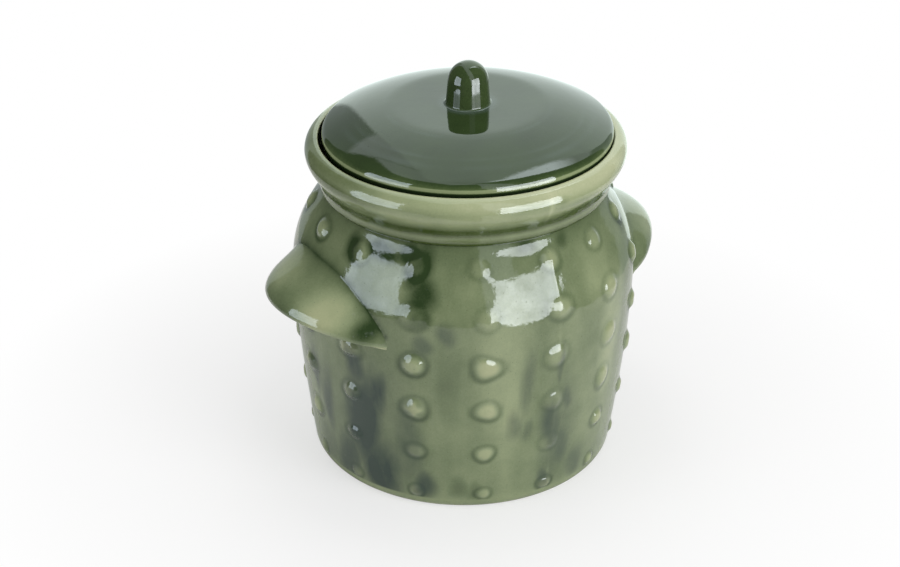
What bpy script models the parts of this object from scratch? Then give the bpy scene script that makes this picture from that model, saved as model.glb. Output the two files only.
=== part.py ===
"""Water-sealed fermentation crock of glazed stoneware, 4 litres.

The pot is a turned vessel whose neck stands inside a trough. The trough's outer wall is the
rolled collar, and the lid's skirt hangs in the trough, where water seals it. Two hooded lugs
lift the pot, a round-topped knob lifts the lid, and two half-round weights lie inside.
Origin: centre of the foot, on the table. +Z is up, and the lugs point along +X and -X.
"""

import math

import bmesh
import bpy
from mathutils import Vector

MM = 0.001

# Driving dimensions
BELLY_RADIUS = 96.3 * MM
BELLY_HEIGHT = 114.6 * MM
SHOULDER_RISE = 47.4 * MM
SHOULDER_HEIGHT = BELLY_HEIGHT + SHOULDER_RISE
NECK_RADIUS = 70 * MM
SHOULDER_LEDGE = 6.2 * MM
SHOULDER_RADIUS = NECK_RADIUS + SHOULDER_LEDGE
WALL = 6.5 * MM
SEAT_GAP = 0.3 * MM
OVERRUN = 4 * MM
LATHE_SIDES = 52
SHARP_ANGLE = math.radians(40)

# Vessel
FOOT_RADIUS = 80.6 * MM
FOOT_CORNER = 6 * MM
FOOT_RING_WIDTH = 10 * MM
FOOT_RECESS = 2.5 * MM
FLOOR_THICKNESS = 9 * MM
FLOOR_CORNER = 10 * MM
WALL_FLARE_POWER = 1.6
SHOULDER_POWER = 2.1
NECK_WALL = 5.5 * MM
NECK_DROP = 6.8 * MM
CORNER_STEPS = 3
WALL_STEPS = 5
SHOULDER_STEPS = 6

# Warts moulded into the wall: columns round the pot, rows up the wall
WART_COLUMNS = 15
WART_FIRST_ROW = 10.8 * MM
WART_TOP_DROP = 10.5 * MM
WART_ROW_SHARES = (0, 0.206, 0.412, 0.618, 0.824, 1)
WART_WIDTHS = (8 * MM, 10.5 * MM, 12.5 * MM, 13.5 * MM, 13 * MM, 11.5 * MM)
WART_HEIGHT_SHARE = 0.2
WART_RING_RADIUS_SHARE = 0.33
WART_RING_HEIGHT_SHARE = 0.75
WART_SIDES = 8
WART_SINK = 0.5 * MM
WART_ROOT = 2 * MM

# Collar with the water trough
COLLAR_HEIGHT = 30.5 * MM
COLLAR_CREST = 9 * MM
COLLAR_THICKNESS = 7.6 * MM
COLLAR_LIP = 1.1 * MM
COLLAR_BEAD_WIDTH = 4.8 * MM
COLLAR_BEAD_HEIGHT = 3 * MM
COLLAR_BEAD_STEPS = 2
COLLAR_STEPS = 5
TROUGH_WIDTH = 11.4 * MM
TROUGH_BASE = 6.2 * MM
TROUGH_CORNER = 2.5 * MM
COLLAR_SEAT = SHOULDER_HEIGHT + SEAT_GAP
COLLAR_TOP = COLLAR_SEAT + COLLAR_HEIGHT
COLLAR_WIDEST = COLLAR_TOP - COLLAR_CREST
TROUGH_RADIUS = NECK_RADIUS + TROUGH_WIDTH
TROUGH_FLOOR = COLLAR_SEAT + TROUGH_BASE
COLLAR_RADIUS = TROUGH_RADIUS + COLLAR_THICKNESS
NECK_TOP = COLLAR_TOP - NECK_DROP

# Lid
LID_CLEARANCE = 1.5 * MM
LID_SHIFT = 1.2 * MM
LID_SINK = 1 * MM
LID_EDGE_WIDTH = 5 * MM
LID_EDGE_RISE = 5.4 * MM
LID_EDGE_STEPS = 4
LID_EDGE_TURN = math.radians(60)
LID_RISE = 19.2 * MM
LID_DOME_POWER = 3
LID_THICKNESS = 5 * MM
LID_FILLET_TURN = 60
LID_STEPS = 6
LID_FILLET_STEPS = 2
SKIRT_THICKNESS = 4.5 * MM
SKIRT_TAPER = 2.2 * MM
LID_EDGE_HEIGHT = COLLAR_TOP - LID_SINK
LID_APEX = LID_EDGE_HEIGHT + LID_RISE
GAS_NOTCH_RADIUS = 3.5 * MM
GAS_NOTCH_SIDES = 12

# Knob
KNOB_RADIUS = 12.2 * MM
KNOB_TAPER = 1 * MM
KNOB_HEIGHT = 21.8 * MM
KNOB_FILLET = 1.5 * MM
KNOB_TOP_TURN = 75
KNOB_STEPS = 5

# Lugs
LUG_HALF_ANGLE = math.radians(34)
LUG_DROP = 23.4 * MM
LUG_LIP_RISE = 9.4 * MM
LUG_LIP_POWER = 1.3
LUG_HEIGHT = 35.3 * MM
LUG_END_HEIGHT = 5 * MM
LUG_ARCH_POWER = 2.8
LUG_REACH = 21.8 * MM
LUG_RIM = 1.8 * MM
LUG_NOSE_POWER = 1.15
LUG_SIDE_POWER = 1.82
LUG_WIDEST_SHARE = 0.12
LUG_UNDERCUT_SHARE = 0.36
LUG_EDGE_POWER = 6
LUG_COLUMNS = 22
LUG_ROWS = 8
LUG_ROW_POWER = 1.3
LUG_UNDERSIDE = SHOULDER_HEIGHT - LUG_DROP - LUG_HEIGHT
LUG_CHEEK_ANGLE = math.radians(9)
LUG_ROOF = 9.3 * MM
LUG_WALL = 8.8 * MM

# Weights
WEIGHT_CLEARANCE = 1.9 * MM
WEIGHT_THICKNESS = 14 * MM
WEIGHT_SPLIT = 3 * MM
WEIGHT_EDGE = 2 * MM
WEIGHT_EDGE_ANGLE = math.radians(50)
WEIGHT_EDGE_STEPS = 2
WEIGHT_STEPS = 20
FINGER_HOLE_RADIUS = 12 * MM
FINGER_HOLE_STEPS = 8


# Small helpers

def clear_scene():
    for obj in list(bpy.data.objects):
        bpy.data.objects.remove(obj, do_unlink=True)


def material(name, colour, roughness):
    made = bpy.data.materials.new(name)
    made.use_nodes = True
    shader = made.node_tree.nodes["Principled BSDF"]
    shader.inputs["Base Color"].default_value = (*colour, 1)
    shader.inputs["Roughness"].default_value = roughness
    shader.inputs["Metallic"].default_value = 0
    return made


def add_object(name, mesh, finish=None):
    obj = bpy.data.objects.new(name, mesh)
    bpy.context.scene.collection.objects.link(obj)
    if finish:
        mesh.materials.append(finish)
        mesh.shade_smooth()
        mesh.set_sharp_from_angle(angle=SHARP_ANGLE)
    return obj


def hide_helper(obj):
    obj.hide_render = True
    obj.display_type = "WIRE"
    return obj


def boolean(obj, other, operation):
    modifier = obj.modifiers.new(operation.title(), "BOOLEAN")
    modifier.operation = operation
    modifier.object = other
    modifier.solver = "EXACT"


def arc(centre_r, centre_z, radius, start, end, steps):
    """Points (r, z) along an arc, from the start angle to the end angle in degrees."""
    points = []
    for i in range(steps + 1):
        angle = math.radians(start + (end - start) * i / steps)
        points.append((centre_r + radius * math.cos(angle), centre_z + radius * math.sin(angle)))
    return points


def turned_mesh(name, outline, sides=LATHE_SIDES):
    """Revolves a closed outline of (r, z) points about Z. A point with r = 0 is a pole."""
    bm = bmesh.new()
    rings = []
    for r, z in outline:
        if r == 0:
            rings.append([bm.verts.new((0, 0, z))])
            continue
        ring = []
        for i in range(sides):
            angle = 2 * math.pi * i / sides
            ring.append(bm.verts.new((r * math.sin(angle), -r * math.cos(angle), z)))
        rings.append(ring)
    pairs = list(zip(rings, rings[1:]))
    if outline[0][0] != 0:
        pairs.append((rings[-1], rings[0]))
    for lower, upper in pairs:
        for i in range(sides):
            j = (i + 1) % sides
            corners = [lower[i % len(lower)], lower[j % len(lower)],
                       upper[j % len(upper)], upper[i % len(upper)]]
            distinct = list(dict.fromkeys(corners))
            if len(distinct) > 2:
                bm.faces.new(distinct)
    bmesh.ops.recalc_face_normals(bm, faces=bm.faces)
    mesh = bpy.data.meshes.new(name)
    bm.to_mesh(mesh)
    bm.free()
    return mesh


# The pot's outer surface, which the warts and the lugs follow

def wall_radius(z):
    """Outer radius of the wall at height z, above the foot's corner and below the collar."""
    if z < BELLY_HEIGHT:
        share = (BELLY_HEIGHT - z) / (BELLY_HEIGHT - FOOT_CORNER)
        foot = FOOT_RADIUS + FOOT_CORNER
        return BELLY_RADIUS - (BELLY_RADIUS - foot) * share ** WALL_FLARE_POWER
    share = (z - BELLY_HEIGHT) / (SHOULDER_HEIGHT - BELLY_HEIGHT)
    return BELLY_RADIUS - (BELLY_RADIUS - SHOULDER_RADIUS) * share ** SHOULDER_POWER


def wall_slope(z):
    """Lean of the wall at height z: the change of radius for each unit of height."""
    return (wall_radius(z + WART_SINK) - wall_radius(z - WART_SINK)) / (2 * WART_SINK)


def heights(low, high, steps):
    """Evenly spaced heights from just past the low one to the high one."""
    return [low + (high - low) * i / steps for i in range(1, steps + 1)]


def floor_radius():
    """Radius of the flat floor inside the pot."""
    return wall_radius(FLOOR_THICKNESS + FLOOR_CORNER) - WALL - FLOOR_CORNER


def vessel_outline():
    foot_inner = FOOT_RADIUS - FOOT_RING_WIDTH
    outline = [(0, FOOT_RECESS), (foot_inner - FOOT_RECESS, FOOT_RECESS), (foot_inner, 0)]
    outline += arc(FOOT_RADIUS, FOOT_CORNER, FOOT_CORNER, -90, 0, CORNER_STEPS)
    outline += [(wall_radius(z), z) for z in heights(FOOT_CORNER, BELLY_HEIGHT, WALL_STEPS)]
    outline += [(wall_radius(z), z) for z in heights(BELLY_HEIGHT, SHOULDER_HEIGHT, SHOULDER_STEPS)]
    neck_round = NECK_WALL / 2
    outline.append((NECK_RADIUS, SHOULDER_HEIGHT))
    outline += arc(NECK_RADIUS - neck_round, NECK_TOP - neck_round, neck_round, 0, 180, CORNER_STEPS)
    outline.append((NECK_RADIUS - NECK_WALL, SHOULDER_HEIGHT))
    inner_shoulder = SHOULDER_HEIGHT - WALL
    inner_belly = BELLY_HEIGHT - WALL
    floor_corner_z = FLOOR_THICKNESS + FLOOR_CORNER
    corner_r = floor_radius()
    inside = heights(inner_shoulder, inner_belly, WALL_STEPS)
    inside += heights(inner_belly, floor_corner_z, CORNER_STEPS)
    outline += [(wall_radius(z) - WALL, z) for z in inside]
    outline += arc(corner_r, floor_corner_z, FLOOR_CORNER, 0, -90, CORNER_STEPS)[1:]
    outline.append((0, FLOOR_THICKNESS))
    return outline


def wart_places():
    """(angle from -Y towards +X, height, width) of each wart on the wall."""
    span = SHOULDER_HEIGHT - WART_TOP_DROP - WART_FIRST_ROW
    places = []
    for column in range(WART_COLUMNS):
        angle = 2 * math.pi * column / WART_COLUMNS
        for share, width in zip(WART_ROW_SHARES, WART_WIDTHS):
            z = WART_FIRST_ROW + span * share
            if not under_lug(angle, z, width):
                places.append((angle, z, width))
    return places


def under_lug(angle, z, width):
    """True where a lug's footprint touches the wart."""
    from_x = math.acos(min(1, abs(math.sin(angle))))
    share = (from_x - width / BELLY_RADIUS) / LUG_HALF_ANGLE
    if share >= 1:
        return False
    share = max(0, share)
    above_lip = z > LUG_UNDERSIDE + lip_rise(share) - width / 2
    return above_lip and z < LUG_UNDERSIDE + arch_rise(share, LUG_HEIGHT) + width / 2


def add_wart(bm, angle, z, width):
    """A low dome on the wall, rooted inside it: a sunk base, one ring and a crown."""
    outward = Vector((math.sin(angle), -math.cos(angle), -wall_slope(z))).normalized()
    across = Vector((math.cos(angle), math.sin(angle), 0))
    upward = outward.cross(across)
    r = wall_radius(z)
    centre = Vector((r * math.sin(angle), -r * math.cos(angle), z))
    height = width * WART_HEIGHT_SHARE
    base = (width / 2, -WART_SINK)
    ring = (width * WART_RING_RADIUS_SHARE, height * WART_RING_HEIGHT_SHARE)
    rings = []
    for radius, lift in (base, ring):
        corners = []
        for i in range(WART_SIDES):
            turn = 2 * math.pi * i / WART_SIDES
            offset = across * (radius * math.cos(turn)) + upward * (radius * math.sin(turn))
            corners.append(bm.verts.new(centre + offset + outward * lift))
        rings.append(corners)
    crown = bm.verts.new(centre + outward * height)
    root = bm.verts.new(centre - outward * WART_ROOT)
    lower, upper = rings
    for i in range(WART_SIDES):
        j = (i + 1) % WART_SIDES
        bm.faces.new((root, lower[j], lower[i]))
        bm.faces.new((lower[i], lower[j], upper[j], upper[i]))
        bm.faces.new((upper[i], upper[j], crown))


def make_warts():
    bm = bmesh.new()
    for angle, z, width in wart_places():
        add_wart(bm, angle, z, width)
    bmesh.ops.recalc_face_normals(bm, faces=bm.faces)
    mesh = bpy.data.meshes.new("wart_domes")
    bm.to_mesh(mesh)
    bm.free()
    return hide_helper(add_object("wart_domes", mesh))


def make_vessel(finish):
    vessel = add_object("crock_vessel", turned_mesh("crock_vessel", vessel_outline()), finish)
    boolean(vessel, make_warts(), "UNION")
    return vessel


# Collar: a gutter ring seated on the shoulder round the neck

def collar_outline():
    inner = NECK_RADIUS + SEAT_GAP
    bead_r = SHOULDER_RADIUS + COLLAR_BEAD_WIDTH
    bead_z = COLLAR_SEAT + COLLAR_BEAD_HEIGHT
    crest_r = TROUGH_RADIUS + COLLAR_LIP
    outline = [(inner, COLLAR_SEAT), (SHOULDER_RADIUS, COLLAR_SEAT)]
    for i in range(1, COLLAR_BEAD_STEPS + 1):
        angle = math.pi / 2 * i / COLLAR_BEAD_STEPS
        r = SHOULDER_RADIUS + COLLAR_BEAD_WIDTH * math.sin(angle)
        outline.append((r, bead_z - COLLAR_BEAD_HEIGHT * math.cos(angle)))
    for i in range(1, COLLAR_STEPS + 1):
        share = i / COLLAR_STEPS
        flare = (1 - math.cos(math.pi * share)) / 2
        r = bead_r + (COLLAR_RADIUS - bead_r) * flare
        outline.append((r, bead_z + (COLLAR_WIDEST - bead_z) * share))
    for i in range(1, COLLAR_STEPS + 1):
        angle = math.pi / 2 * i / COLLAR_STEPS
        r = crest_r + (COLLAR_RADIUS - crest_r) * math.cos(angle)
        outline.append((r, COLLAR_WIDEST + (COLLAR_TOP - COLLAR_WIDEST) * math.sin(angle)))
    outline += arc(crest_r, COLLAR_TOP - COLLAR_LIP, COLLAR_LIP, 90, 180, CORNER_STEPS)[1:]
    trough_corner_r = TROUGH_RADIUS - TROUGH_CORNER
    outline += arc(trough_corner_r, TROUGH_FLOOR + TROUGH_CORNER, TROUGH_CORNER, 0, -90, CORNER_STEPS)
    outline.append((inner, TROUGH_FLOOR))
    return outline


# Lid: a shallow dome that rolls over into a skirt

def lid_radius():
    return TROUGH_RADIUS - LID_CLEARANCE


def lid_edge_point(angle):
    """A point (r, z) of the rolled edge, which turns from upright to the slope of the dome."""
    r = lid_radius() - LID_EDGE_WIDTH * (1 - math.cos(angle))
    return r, LID_EDGE_HEIGHT + LID_EDGE_RISE * math.sin(angle)


def dome_height(r):
    """Height of the lid's top at radius r: flat in the middle, steeper towards the edge."""
    dome_radius, dome_z = lid_edge_point(LID_EDGE_TURN)
    return LID_APEX - (LID_APEX - dome_z) * (r / dome_radius) ** LID_DOME_POWER


def lid_outline():
    foot_z = TROUGH_FLOOR + SEAT_GAP
    foot_r = lid_radius() - SKIRT_TAPER
    foot_inner = foot_r - SKIRT_THICKNESS
    foot_round = SKIRT_THICKNESS / 3
    outline = [(0, LID_APEX - LID_THICKNESS)]
    under_r = foot_inner - LID_THICKNESS
    for i in range(1, CORNER_STEPS + 1):
        r = under_r * i / CORNER_STEPS
        outline.append((r, dome_height(r) - LID_THICKNESS))
    fillet_z = outline[-1][1] - LID_THICKNESS
    outline += arc(under_r, fillet_z, LID_THICKNESS, LID_FILLET_TURN, 0, LID_FILLET_STEPS)
    outline += [(foot_inner, foot_z + foot_round), (foot_inner + foot_round, foot_z)]
    outline += [(foot_r - foot_round, foot_z), (foot_r, foot_z + foot_round)]
    for i in range(LID_EDGE_STEPS):
        outline.append(lid_edge_point(LID_EDGE_TURN * i / LID_EDGE_STEPS))
    dome_radius = lid_edge_point(LID_EDGE_TURN)[0]
    for i in range(LID_STEPS):
        r = dome_radius * (LID_STEPS - i) / LID_STEPS
        outline.append((r, dome_height(r)))
    outline.append((0, LID_APEX))
    return outline


def make_lid(finish):
    """The lid, with a bar along Y cut through its foot, which leaves a gas notch at each end."""
    lid = add_object("lid", turned_mesh("lid", lid_outline()), finish)
    lid.location = (LID_SHIFT, 0, 0)
    length = 2 * (lid_radius() + OVERRUN)
    bm = bmesh.new()
    bmesh.ops.create_cone(bm, cap_ends=True, segments=GAS_NOTCH_SIDES, depth=length,
                          radius1=GAS_NOTCH_RADIUS, radius2=GAS_NOTCH_RADIUS)
    mesh = bpy.data.meshes.new("gas_notch_bar")
    bm.to_mesh(mesh)
    bm.free()
    bar = hide_helper(add_object("gas_notch_bar", mesh))
    bar.location = (LID_SHIFT, 0, TROUGH_FLOOR + SEAT_GAP)
    bar.rotation_euler = (math.pi / 2, 0, 0)
    boolean(lid, bar, "DIFFERENCE")
    return lid


def knob_outline():
    base_z = LID_APEX + SEAT_GAP
    top_radius = KNOB_RADIUS - KNOB_TAPER
    ball_z = base_z + KNOB_HEIGHT - top_radius
    outline = [(0, base_z), (KNOB_RADIUS - KNOB_FILLET / 2, base_z),
               (KNOB_RADIUS, base_z + KNOB_FILLET)]
    outline += arc(0, ball_z, top_radius, 0, KNOB_TOP_TURN, KNOB_STEPS)
    outline.append((0, base_z + KNOB_HEIGHT))
    return outline


def make_knob(finish):
    mesh = turned_mesh("lid_knob", knob_outline(), LATHE_SIDES // 2)
    knob = add_object("lid_knob", mesh, finish)
    knob.location = (LID_SHIFT, 0, 0)
    return knob


# Lugs: hooded ledges on the wall, with a finger hollow underneath

def lip_rise(share):
    """How far the lug's lower lip rises above its ends, at a share, -1 to 1, of the half width."""
    return LUG_LIP_RISE * max(0, math.cos(math.pi / 2 * share)) ** LUG_LIP_POWER


def arch_rise(share, height):
    """How far the lug's upper line stands above the ends of its lip."""
    crown = 1 - min(1, abs(share)) ** LUG_ARCH_POWER
    return LUG_END_HEIGHT + (height - LUG_END_HEIGHT) * crown


def lug_stand_off(share, rise, reach, rim):
    """How far the lug stands off the wall. rise runs from 0 at the lip to 1 at the arch."""
    if rise < LUG_WIDEST_SHARE:
        below = (LUG_WIDEST_SHARE - rise) / LUG_WIDEST_SHARE
        side = 1 - LUG_UNDERCUT_SHARE * below ** 2
    else:
        above = (rise - LUG_WIDEST_SHARE) / (1 - LUG_WIDEST_SHARE)
        side = (1 - above ** 2) ** LUG_SIDE_POWER
    nose = max(0, math.cos(math.pi / 2 * share)) ** LUG_NOSE_POWER
    return rim * math.sqrt(1 - rise ** LUG_EDGE_POWER) + reach * nose * side


def lug_lines(share, half_angle, height, reach, rim, bottom_z):
    """The front points and the back points of one upright slice of a lug block."""
    angle = half_angle * share
    direction = Vector((math.cos(angle), math.sin(angle), 0))
    lip = lip_rise(share * half_angle / LUG_HALF_ANGLE)
    front, back = [], []
    for j in range(LUG_ROWS + 1):
        rise = (j / LUG_ROWS) ** LUG_ROW_POWER
        z = LUG_UNDERSIDE + lip + (arch_rise(share, height) - lip) * rise
        r = wall_radius(z) + lug_stand_off(share, rise, reach, rim)
        if j == 0 and bottom_z:
            z = bottom_z
        front.append(direction * r + Vector((0, 0, z)))
        back.append(direction * (wall_radius(z) - OVERRUN) + Vector((0, 0, z)))
    return front, back


def lug_block(name, half_angle, height, reach, rim, bottom_z=None):
    """A closed block between the lug's curved front and a back sunk in the wall."""
    bm = bmesh.new()
    front, back = [], []
    for i in range(LUG_COLUMNS + 1):
        share = -math.cos(math.pi * i / LUG_COLUMNS)
        front_line, back_line = lug_lines(share, half_angle, height, reach, rim, bottom_z)
        front.append([bm.verts.new(point) for point in front_line])
        back.append([bm.verts.new(point) for point in back_line])
    for i in range(LUG_COLUMNS):
        for j in range(LUG_ROWS):
            for grid in (front, back):
                bm.faces.new((grid[i][j], grid[i + 1][j], grid[i + 1][j + 1], grid[i][j + 1]))
        for j in (0, LUG_ROWS):
            bm.faces.new((front[i][j], front[i + 1][j], back[i + 1][j], back[i][j]))
    for i in (0, LUG_COLUMNS):
        for j in range(LUG_ROWS):
            bm.faces.new((front[i][j], front[i][j + 1], back[i][j + 1], back[i][j]))
    bmesh.ops.recalc_face_normals(bm, faces=bm.faces)
    mesh = bpy.data.meshes.new(name)
    bm.to_mesh(mesh)
    bm.free()
    return mesh


def wall_cutter():
    """The pot's outside, grown by the seat gap, from under the lugs to the shoulder."""
    bottom = LUG_UNDERSIDE - 2 * OVERRUN
    outline = [(0, bottom), (wall_radius(bottom) + SEAT_GAP, bottom)]
    for z in heights(bottom, SHOULDER_HEIGHT, 2 * SHOULDER_STEPS):
        outline.append((wall_radius(z) + SEAT_GAP, z))
    outline.append((0, SHOULDER_HEIGHT))
    mesh = turned_mesh("wall_cutter", outline, 2 * LATHE_SIDES)
    return hide_helper(add_object("wall_cutter", mesh))


def make_lug(name, turn, cutter, finish):
    lug = add_object(name, lug_block(name, LUG_HALF_ANGLE, LUG_HEIGHT, LUG_REACH, LUG_RIM), finish)
    lug.rotation_euler = (0, 0, turn)
    hollow_mesh = lug_block(name + "_hollow", LUG_HALF_ANGLE - LUG_CHEEK_ANGLE, LUG_HEIGHT - LUG_ROOF,
                            LUG_REACH - LUG_WALL, 0, LUG_UNDERSIDE - OVERRUN)
    hollow = hide_helper(add_object(name + "_hollow", hollow_mesh))
    hollow.rotation_euler = (0, 0, turn)
    boolean(lug, hollow, "DIFFERENCE")
    boolean(lug, cutter, "DIFFERENCE")
    return lug


# Weights: a split disc with a finger hole at its centre

def half_ring(radius, flat, steps):
    """Points (x, y) round a circle from +X to -X that stay a distance flat off the split line."""
    start = math.asin(flat / radius)
    points = []
    for i in range(steps + 1):
        angle = start + (math.pi - 2 * start) * i / steps
        points.append((radius * math.cos(angle), radius * math.sin(angle)))
    return points


def make_weight(name, side, finish):
    """One half of the disc. side is 1 towards +Y and -1 towards -Y."""
    flat = WEIGHT_SPLIT / 2
    bottom = FLOOR_THICKNESS + SEAT_GAP
    outline = half_ring(floor_radius() - WEIGHT_CLEARANCE, flat, WEIGHT_STEPS)
    outline += reversed(half_ring(FINGER_HOLE_RADIUS, flat, FINGER_HOLE_STEPS))
    bm = bmesh.new()
    face = bm.faces.new([bm.verts.new((x, side * y, bottom)) for x, y in outline])
    grown = bmesh.ops.extrude_face_region(bm, geom=[face])
    top = [item for item in grown["geom"] if isinstance(item, bmesh.types.BMVert)]
    bmesh.ops.translate(bm, verts=top, vec=(0, 0, WEIGHT_THICKNESS))
    bmesh.ops.recalc_face_normals(bm, faces=bm.faces)
    mesh = bpy.data.meshes.new(name)
    bm.to_mesh(mesh)
    bm.free()
    weight = add_object(name, mesh, finish)
    bevel = weight.modifiers.new("Eased edges", "BEVEL")
    bevel.width = WEIGHT_EDGE
    bevel.segments = WEIGHT_EDGE_STEPS
    bevel.limit_method = "ANGLE"
    bevel.angle_limit = WEIGHT_EDGE_ANGLE
    return weight


def main():
    clear_scene()
    body_glaze = material("body_glaze", (0.19, 0.26, 0.12), 0.1)
    collar_glaze = material("collar_glaze", (0.33, 0.4, 0.2), 0.1)
    lid_glaze = material("lid_glaze", (0.06, 0.12, 0.04), 0.08)
    weight_clay = material("weight_clay", (0.62, 0.57, 0.47), 0.45)
    make_vessel(body_glaze)
    add_object("water_seal_collar", turned_mesh("water_seal_collar", collar_outline()), collar_glaze)
    cutter = wall_cutter()
    make_lug("left_handle", math.pi, cutter, body_glaze)
    make_lug("right_handle", 0, cutter, body_glaze)
    make_lid(lid_glaze)
    make_knob(lid_glaze)
    make_weight("front_weight_half", -1, weight_clay)
    make_weight("back_weight_half", 1, weight_clay)


main()
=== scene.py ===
"""Looks of the fermentation crock: glazed surfaces, camera, light and floor.

Every piece is a finer mesh of the same formulas that shape its CAD solid, and replaces it. Float
layers on each mesh say where the glaze ran thin or thick, turned milky or stayed away, and where
shade and light are painted into it, and the procedural glazes read them. Angles go round the pot
from -Y towards +X, as the photograph's camera sees them from the left to the right.
"""

import math

import bpy
import numpy as np
from mathutils import Matrix, Vector


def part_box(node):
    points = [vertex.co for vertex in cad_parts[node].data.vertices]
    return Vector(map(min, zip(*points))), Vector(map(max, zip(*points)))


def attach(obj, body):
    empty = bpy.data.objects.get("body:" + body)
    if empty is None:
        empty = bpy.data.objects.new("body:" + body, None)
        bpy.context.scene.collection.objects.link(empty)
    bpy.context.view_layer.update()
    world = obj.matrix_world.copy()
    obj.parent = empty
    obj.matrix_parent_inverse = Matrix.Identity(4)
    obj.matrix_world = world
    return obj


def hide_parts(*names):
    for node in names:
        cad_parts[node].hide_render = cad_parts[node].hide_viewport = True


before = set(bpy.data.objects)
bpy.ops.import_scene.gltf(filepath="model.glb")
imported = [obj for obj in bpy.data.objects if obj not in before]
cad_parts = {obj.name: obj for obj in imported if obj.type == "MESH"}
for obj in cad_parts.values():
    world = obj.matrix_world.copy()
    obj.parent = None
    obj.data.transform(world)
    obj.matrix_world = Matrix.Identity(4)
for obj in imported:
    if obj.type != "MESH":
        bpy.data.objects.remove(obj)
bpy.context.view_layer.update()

MM = 0.001
RNG = np.random.default_rng(31)

# Sizes read from the frame
COLLAR_LOW, COLLAR_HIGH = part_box("water_seal_collar")
LID_LOW, LID_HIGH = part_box("lid")
KNOB_LOW, KNOB_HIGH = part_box("lid_knob")
LUG_LOW, LUG_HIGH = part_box("right_handle")
WEIGHT_LOW, WEIGHT_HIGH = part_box("front_weight_half")

# Gap under the luted pieces, and the glaze that makes the lid a little wider than its clay
SEAT_GAP = 0.3 * MM
LID_GLAZE = 0.6 * MM

SHOULDER_HEIGHT = COLLAR_LOW.z - SEAT_GAP
COLLAR_RADIUS = COLLAR_HIGH.x
COLLAR_TOP = COLLAR_HIGH.z
NECK_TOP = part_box("crock_vessel")[1].z
LID_AXIS = tuple(((LID_LOW + LID_HIGH) / 2).xy)
LID_RADIUS = (LID_HIGH.x - LID_LOW.x) / 2 + LID_GLAZE
LID_FOOT = LID_LOW.z
LID_APEX = LID_HIGH.z
KNOB_RADIUS = (KNOB_HIGH.y - KNOB_LOW.y) / 2
KNOB_TOP = KNOB_HIGH.z
LUG_UNDERSIDE = LUG_LOW.z
LUG_HEIGHT = LUG_HIGH.z - LUG_LOW.z

# The pot's wall, as in the CAD part
BELLY_RADIUS = 96.3 * MM
BELLY_HEIGHT = SHOULDER_HEIGHT - 47.4 * MM
NECK_RADIUS = 70 * MM
SHOULDER_RADIUS = NECK_RADIUS + 6.2 * MM
NECK_WALL = 5.5 * MM
WALL = 6.5 * MM
FOOT_RADIUS = 80.6 * MM
FOOT_CORNER = 6 * MM
FOOT_RING_WIDTH = 10 * MM
FOOT_RECESS = 2.5 * MM
FLOOR_THICKNESS = 9 * MM
FLOOR_CORNER = 10 * MM
WALL_FLARE_POWER = 1.6
SHOULDER_POWER = 2.1

# Lean of the top, full above its end height and none below its start: shift along x and y, and
# slopes along x and y, of which the lid has its own
LEAN_START = SHOULDER_HEIGHT - 12 * MM
LEAN_END = SHOULDER_HEIGHT + 6 * MM
LEAN_SHIFT = (1 * MM, 0.35 * MM)
LEAN_TILT = (0.0079, -0.0147)
LID_TILT = (0.0047, -0.0198)

# Warts: columns round the pot, rows up the wall
WART_COLUMNS = 15
WART_FIRST_ROW = 10.8 * MM
WART_TOP_DROP = 10.5 * MM
WART_ROW_SHARES = (0, 0.206, 0.412, 0.618, 0.824, 1)
WART_WIDTHS = (8 * MM, 10.5 * MM, 12.5 * MM, 13.5 * MM, 13 * MM, 11.5 * MM)
WART_HEIGHT_SHARE = 0.165
WART_SPREAD = 1.6

# Collar
TROUGH_RADIUS = NECK_RADIUS + 11.4 * MM
TROUGH_FLOOR = COLLAR_LOW.z + 6.2 * MM
TROUGH_CORNER = 2.5 * MM
COLLAR_CREST = 9 * MM
COLLAR_LIP = 1.1 * MM
COLLAR_BEAD_WIDTH = 4.8 * MM
COLLAR_BEAD_HEIGHT = 3 * MM
COLLAR_SINK = 1.2 * MM
CREST_DROP = 1.5 * MM
CREST_TOP = COLLAR_TOP - CREST_DROP

# Lid and knob. The dish is the crown's flat middle, and the mound the glaze round the knob.
LID_EDGE_DROP = 18.7 * MM
LID_EDGE_HEIGHT = LID_APEX - LID_EDGE_DROP
LID_EDGE_WIDTH = 5 * MM
LID_EDGE_RISE = 5.4 * MM
LID_EDGE_TURN = math.radians(60)
LID_DOME_POWER = 3
LID_DISH = 2.3 * MM
DISH_BLEND = 0.25 * MM
KNOB_MOUND = 0.8 * MM
MOUND_REACH = 11 * MM
LID_THICKNESS = 5 * MM
SKIRT_THICKNESS = 4.5 * MM
SKIRT_TAPER = 2.2 * MM
GAS_NOTCH_RADIUS = 3.5 * MM
KNOB_TAPER = 1 * MM
KNOB_FILLET = 1.5 * MM

# Lugs
LUG_HALF_ANGLE = math.radians(34)
LUG_LIP_RISE = 9.4 * MM
LUG_LIP_POWER = 1.3
LUG_END_HEIGHT = 5 * MM
LUG_ARCH_POWER = 2.8
LUG_REACH = 21.8 * MM
LUG_RIM = 1.8 * MM
LUG_NOSE_POWER = 1.15
LUG_SIDE_POWER = 1.82
LUG_WIDEST_SHARE = 0.12
LUG_UNDERCUT_SHARE = 0.36
LUG_EDGE_POWER = 2.5
LUG_LIP_ROUND = 1.5 * MM
HOLLOW_HALF_ANGLE = LUG_HALF_ANGLE - math.radians(9)
HOLLOW_HEIGHT = LUG_HEIGHT - 9.3 * MM
HOLLOW_REACH = LUG_REACH - 8.8 * MM

# Weights
WEIGHT_SPLIT = 3 * MM
WEIGHT_EDGE = 2 * MM
WEIGHT_STEPS = 96
FINGER_HOLE_RADIUS = 12 * MM

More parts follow.
